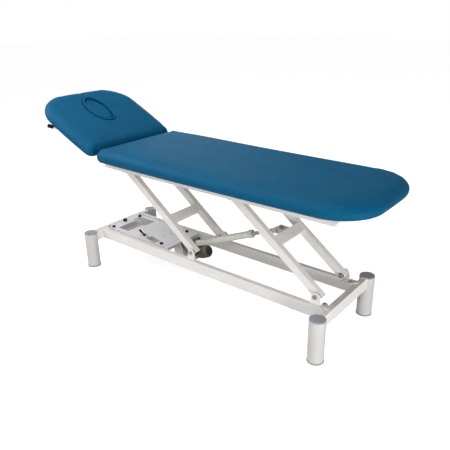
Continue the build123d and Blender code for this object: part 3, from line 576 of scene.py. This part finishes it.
def slab(name, outline, low, high, corner=0.003):
    """A thin plate from an outline seen from above, with rounded corners and a small top chamfer."""
    points = [Vector((x, y, 0.0)) for x, y in outline]
    rounded = []
    for i, here in enumerate(points):
        back = (points[i - 1] - here).normalized()
        onward = (points[(i + 1) % len(points)] - here).normalized()
        first, last = here + back * corner, here + onward * corner
        for t in (0.0, 0.25, 0.5, 0.75, 1.0):
            rounded.append(first * (1 - t) ** 2 + here * 2 * t * (1 - t) + last * t * t)
    middle = sum(rounded, Vector()) / len(rounded)
    chamfer = min(SLAB_CHAMFER, (high - low) / 3)
    rings = []
    for height, inset in ((low, 0.0), (high - chamfer, 0.0), (high, chamfer)):
        lift = Vector((0.0, 0.0, height))
        rings.append([p + (middle - p).normalized() * inset + lift for p in rounded])
    return skin(name, rings)


def foil(name, color):
    return moulded(name, color, 0.38, 900.0, 0.00001)


def rectangle(low_x, low_y, high_x, high_y):
    return ((low_x, low_y), (high_x, low_y), (high_x, high_y), (low_x, high_y))


label_grey = foil("label_foil_grey", (0.33, 0.33, 0.36))
label_dark = foil("label_foil_dark", (0.2, 0.2, 0.225))
label_red = foil("label_foil_red", (0.55, 0.1, 0.08))
label_pale = foil("label_foil_pale", (0.6, 0.6, 0.63))
plate_low, plate_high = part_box("cover_plate")
plate_top = plate_high.z
FOIL = (0.0, 0.0006)  # heights of a foil's faces above the plate
PRINT = (0.0005, 0.0009)  # and of the plain panels on a foil

LABELS = (
    ("label_large", label_grey, FOIL, (
        (-0.637, -0.097), (-0.55, -0.097), (-0.55, 0.004), (-0.527, 0.03),
        (-0.527, 0.103), (-0.66, 0.103), (-0.66, 0.043), (-0.637, 0.043),
    )),
    ("label_large_panel", label_dark, PRINT, rectangle(-0.632, -0.092, -0.58, 0.02)),
    ("label_large_stripe", label_red, PRINT, rectangle(-0.562, -0.094, -0.553, -0.03)),
    ("label_large_window", label_pale, PRINT, rectangle(-0.655, 0.05, -0.6, 0.062)),
    ("label_small", label_grey, FOIL, (
        (-0.386, -0.104), (-0.298, -0.125), (-0.289, -0.085), (-0.377, -0.063),
    )),
    ("label_small_panel", label_dark, PRINT, (
        (-0.381, -0.1), (-0.34, -0.11), (-0.334, -0.084), (-0.375, -0.074),
    )),
)
for name, look, (low, high), outline in LABELS:
    add(name, slab(name, outline, plate_top + low, plate_top + high), look, "base")

# thin black strips along the plate's long edges and across its fold near the foot end: painted shade where
# the gaps and the fold lie
LINE_WIDTH, LINE_HEIGHT, LINE_INSET = 0.0022, 0.00025, 0.002
line_start, line_end = plate_low.x + LINE_INSET, plate_high.x - LINE_INSET
FOLD_INSET, FOLD_MARGIN = 0.034, 0.008
fold_x, fold_reach = plate_high.x - FOLD_INSET, plate_high.y - FOLD_MARGIN
SHADE_LINES = {
    "cover_edge_left": rectangle(line_start, plate_high.y - LINE_WIDTH, line_end, plate_high.y),
    "cover_edge_right": rectangle(line_start, plate_low.y, line_end, plate_low.y + LINE_WIDTH),
    "cover_fold": rectangle(fold_x, -fold_reach, fold_x + LINE_WIDTH / 2, fold_reach),
}
for name, outline in SHADE_LINES.items():
    shade_strip = slab(name, outline, plate_top - LINE_HEIGHT, plate_top + LINE_HEIGHT, LINE_HEIGHT)
    add(name, shade_strip, looks["gas_black"], "base")


def lathe(name, profile, origin, axis, sides=32):
    """A turned piece: profile of (radius, distance along axis) from origin."""
    axis = Vector(axis).normalized()
    across = axis.orthogonal().normalized()
    other = axis.cross(across)
    rings = []
    for radius, along in profile:
        middle = Vector(origin) + axis * along
        rings.append([middle + (across * a + other * b) * radius for a, b in circle(sides)])
    return skin(name, rings)


PAN_HEAD = (
    (0.0045, 0.0), (0.0045, 0.0008), (0.0038, 0.0019), (0.0025, 0.0024), (0.0012, 0.0024), (0.001, 0.0012),
)
SMALL_SCREWS = ((-0.314, 0.03), (-0.509, 0.126), (-0.314, -0.03), (-0.42, 0.126), (-0.6, -0.126))
for i, (x, y) in enumerate(SMALL_SCREWS):
    name = f"cover_screw_small_{i + 1}"
    add(name, lathe(name, PAN_HEAD, (x, y, plate_top), (0, 0, 1)), looks["zinc"], "base")


# ---------------------------------------------------------------- weld beads
BEAD_SIDES, BEAD_STEP = 8, 0.0015
BEAD_RIPPLE, BEAD_SWELL = 0.0045, 0.14  # length of one ripple, and its share of the radius


def bead(name, path, axis, radius, body):
    """A closed, rippled weld bead along a loop of points round an axis."""
    rings = []
    travelled = 0.0
    for i, here in enumerate(path):
        before, after = path[i - 1], path[(i + 1) % len(path)]
        tangent = (after - before).normalized()
        out = (axis - tangent * axis.dot(tangent)).normalized()
        up = tangent.cross(out)
        travelled += (here - before).length
        swell = radius * (1.0 + BEAD_SWELL * math.sin(2 * math.pi * travelled / BEAD_RIPPLE))
        rings.append([here + (out * a + up * b) * swell for a, b in circle(BEAD_SIDES)])
    mesh = skin(name, rings, closed=True)
    add(name, mesh, looks["frame_paint"], body, ALL_SMOOTH)


def box_loop(half_a, half_b):
    """Points (a, b) round a rectangle, closely spaced."""
    corners = rectangle(-half_a, -half_b, half_a, half_b)
    points = []
    for i, (a, b) in enumerate(corners):
        c, d = corners[(i + 1) % 4]
        count = max(2, int(math.hypot(c - a, d - b) / BEAD_STEP))
        points += [(a + (c - a) * k / count, b + (d - b) * k / count) for k in range(count)]
    return points


LEG_RADIUS, LEG_Y = 0.038, 0.248
LEG_BEAD, ARM_BEAD = 0.0022, 0.002
for end in ("head", "foot"):
    beam_low, beam_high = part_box(f"crossbeam_{end}")
    beam, beam_half = (beam_low + beam_high) / 2, (beam_high - beam_low) / 2
    for side, sign in SIDES:
        loop = []
        for a, b in box_loop(beam_half.x, beam_half.z):
            reach = math.sqrt(LEG_RADIUS ** 2 - a ** 2)
            loop.append(Vector((beam.x + a, sign * (LEG_Y - reach), beam.z + b)))
        bead(f"weld_leg_{end}_{side}", loop, ACROSS, LEG_BEAD, "base")

ARM = math.radians(37.6)
ARM_ALONG = Vector((-math.cos(ARM), 0.0, math.sin(ARM)))
ARM_UP = Vector((math.sin(ARM), 0.0, math.cos(ARM)))
ARM_INNER_Y, PIVOT_Z, CROSSBAR_RISE = 0.1025, 0.254, 0.003
CROSSBAR_HALF = (0.025, 0.015)
# Each pair of arms: place of its lower pivot on the base, and of its crossbar up the arm.
ARM_PAIRS = (("head", -0.049, 0.22), ("foot", 0.704, 0.308))
for pair, pivot_x, along in ARM_PAIRS:
    pivot = Vector((BASE_X + pivot_x, 0.0, PIVOT_Z))
    middle = pivot + ARM_ALONG * along + ARM_UP * CROSSBAR_RISE
    for side, sign in SIDES:
        joint = middle + ACROSS * (sign * ARM_INNER_Y)
        loop = [joint + ARM_ALONG * a + ARM_UP * b for a, b in box_loop(*CROSSBAR_HALF)]
        bead(f"weld_arm_{pair}_{side}", loop, ACROSS, ARM_BEAD, f"{pair}_arms")

# ---------------------------------------------------------------- actuator: fins, end cap, housing screws
THRUST = math.radians(22.924)
THRUST_ALONG = Vector((math.cos(THRUST), 0.0, math.sin(THRUST)))
THRUST_UP = Vector((-math.sin(THRUST), 0.0, math.cos(THRUST)))
REAR_EYE = Vector((-0.20325, 0.0, 0.176))
MOTOR_DROP = -0.053


def thrust_point(along, up, across=0.0):
    return REAR_EYE + THRUST_ALONG * along + THRUST_UP * up + Vector((0.0, across, 0.0))


def motor_piece(name, profile, look):
    mesh = lathe(name, profile, thrust_point(0.0, MOTOR_DROP), THRUST_ALONG, 48)
    add(name, mesh, look, "actuator_barrel")


def fin(along, root=0.0335, tip=0.0362, width=0.0032, edge=0.0006):
    return ((root, along), (tip, along + edge), (tip, along + width - edge), (root, along + width))


FIN_COUNT, FIN_START, FIN_STEP = 7, 0.147, 0.0068
fins = [point for k in range(FIN_COUNT) for point in fin(FIN_START + FIN_STEP * k)]
motor_piece("motor_fins", fins, looks["motor_plastic"])
END_CAP = ((0.024, 0.2055), (0.024, 0.2085), (0.022, 0.21), (0.009, 0.21), (0.008, 0.2085))
motor_piece("motor_end_cap", END_CAP, looks["gas_black"])

HOUSING_FACE_Y = 0.0329
HOUSING_SCREWS = ((0.07, 0.018), (0.13, 0.018), (0.07, -0.07), (0.13, -0.07), (0.1, -0.026))
for side, sign in SIDES:
    for i, (along, up) in enumerate(HOUSING_SCREWS):
        name = f"housing_screw_{side}_{i + 1}"
        place = thrust_point(along, up, sign * HOUSING_FACE_Y)
        add(name, lathe(name, PAN_HEAD, place, (0, sign, 0), 20), looks["zinc"], "actuator_barrel")

# ---------------------------------------------------------------- stage, light and camera
FLOOR_REACH = 20
FLOOR_BOUNCE = (0.62, 0.62, 0.62, 1.0)
PURE_WHITE = (1.0, 1.0, 1.0, 1.0)
BACKDROP_STRENGTH, WORLD_STRENGTH = 1.0, 0.3


def floor_material():
    """A floor that the camera sees as white and that bounces a plain grey."""
    look = Look("floor_white", specular=0.1)
    look.color(look.ramp(look.noise(2.0), (0.3, (0.58, 0.58, 0.58)), (0.7, (0.62, 0.62, 0.62))))
    look.shader.inputs["Roughness"].default_value = 0.9
    look.shader.inputs["Emission Color"].default_value = PURE_WHITE
    look.shader.inputs["Emission Strength"].default_value = 0.8
    bounce = look.tree.nodes.new("ShaderNodeBsdfDiffuse")
    bounce.inputs["Color"].default_value = FLOOR_BOUNCE
    mix = look.tree.nodes.new("ShaderNodeMixShader")
    seen = look.tree.nodes.new("ShaderNodeLightPath").outputs["Is Camera Ray"]
    look.link(seen, mix.inputs["Fac"])
    look.link(bounce.outputs["BSDF"], mix.inputs[1])
    look.link(look.shader.outputs["BSDF"], mix.inputs[2])
    look.link(mix.outputs["Shader"], look.tree.nodes["Material Output"].inputs["Surface"])
    return look.material


def studio_world():
    """A white backdrop for the camera over a dimmer sky for the light."""
    world = bpy.data.worlds.new("studio")
    world.use_nodes = True
    sky = world.node_tree
    background = sky.nodes["Background"]
    background.inputs["Color"].default_value = PURE_WHITE
    background.inputs["Strength"].default_value = WORLD_STRENGTH
    backdrop = sky.nodes.new("ShaderNodeBackground")
    backdrop.inputs["Color"].default_value = PURE_WHITE
    backdrop.inputs["Strength"].default_value = BACKDROP_STRENGTH
    light_path = sky.nodes.new("ShaderNodeLightPath")
    choose = sky.nodes.new("ShaderNodeMixShader")
    sky.links.new(light_path.outputs["Is Camera Ray"], choose.inputs["Fac"])
    sky.links.new(background.outputs["Background"], choose.inputs[1])
    sky.links.new(backdrop.outputs["Background"], choose.inputs[2])
    sky.links.new(choose.outputs["Shader"], sky.nodes["World Output"].inputs["Surface"])
    return world


floor_corners = rectangle(-FLOOR_REACH, -FLOOR_REACH, FLOOR_REACH, FLOOR_REACH)
floor_mesh = mesh_from("floor", [(x, y, 0) for x, y in floor_corners], [(0, 1, 2, 3)])
floor = bpy.data.objects.new("floor", floor_mesh)
scene.collection.objects.link(floor)
paint(floor, floor_material())
scene.world = studio_world()


def softbox(name, place, target, size, power):
    light = bpy.data.lights.new(name, "AREA")
    light.shape = "RECTANGLE"
    light.size, light.size_y = size
    light.energy = power
    obj = bpy.data.objects.new(name, light)
    obj.location = place
    aim = Vector(target) - Vector(place)
    obj.rotation_mode = "QUATERNION"
    obj.rotation_quaternion = aim.to_track_quat("-Z", "Y")
    scene.collection.objects.link(obj)


softbox("key", (-2.7, -1.5, 2.8), (0.0, 0, 0.5), (2.2, 2.2), 98.0)
softbox("overhead", (-0.4, -0.2, 3.2), (-0.1, 0, 0.5), (3.2, 1.8), 47.0)
softbox("front", (1.0, -3.3, 2.7), (0.3, 0, 0.2), (4.2, 1.6), 24.0)
softbox("low", (0.5, -4.2, 0.5), (0.2, 0, 0.3), (4.5, 1.0), 30.0)
softbox("fill", (3.8, -1.3, 0.3), (0.85, 0, 0.15), (1.6, 0.6), 88.0)
softbox("back", (-2.9, 2.8, 1.75), (0.0, 0, 0.75), (2.2, 0.8), 9.0)

CAMERA_PLACE = (1.7395, -1.9882, 1.4787)
CAMERA_YAW, CAMERA_PITCH, CAMERA_ROLL = (math.radians(angle) for angle in (39.286, 23.198, -1.035))


def camera_turn(yaw, pitch, roll):
    """Rotation of a camera that looks along yaw, down by pitch, turned by roll round its own axis."""
    forward = Vector(
        (-math.sin(yaw) * math.cos(pitch), math.cos(yaw) * math.cos(pitch), -math.sin(pitch))
    )
    right = Vector((math.cos(yaw), math.sin(yaw), 0.0))
    above = right.cross(forward)
    right_rolled = right * math.cos(roll) + above * math.sin(roll)
    above_rolled = above * math.cos(roll) - right * math.sin(roll)
    return Matrix((right_rolled, above_rolled, -forward)).transposed().to_4x4()


camera_data = bpy.data.cameras.new("photo_camera")
camera_data.sensor_width = 36.0
camera_data.lens = 41.97
camera_data.shift_x = 0.0044
camera_data.shift_y = 0.0049
camera_data.clip_end = 50.0
camera = bpy.data.objects.new("photo_camera", camera_data)
camera_rotation = camera_turn(CAMERA_YAW, CAMERA_PITCH, CAMERA_ROLL)
camera.matrix_world = Matrix.Translation(CAMERA_PLACE) @ camera_rotation
scene.collection.objects.link(camera)
scene.camera = camera
scene.view_settings.view_transform = "Standard"
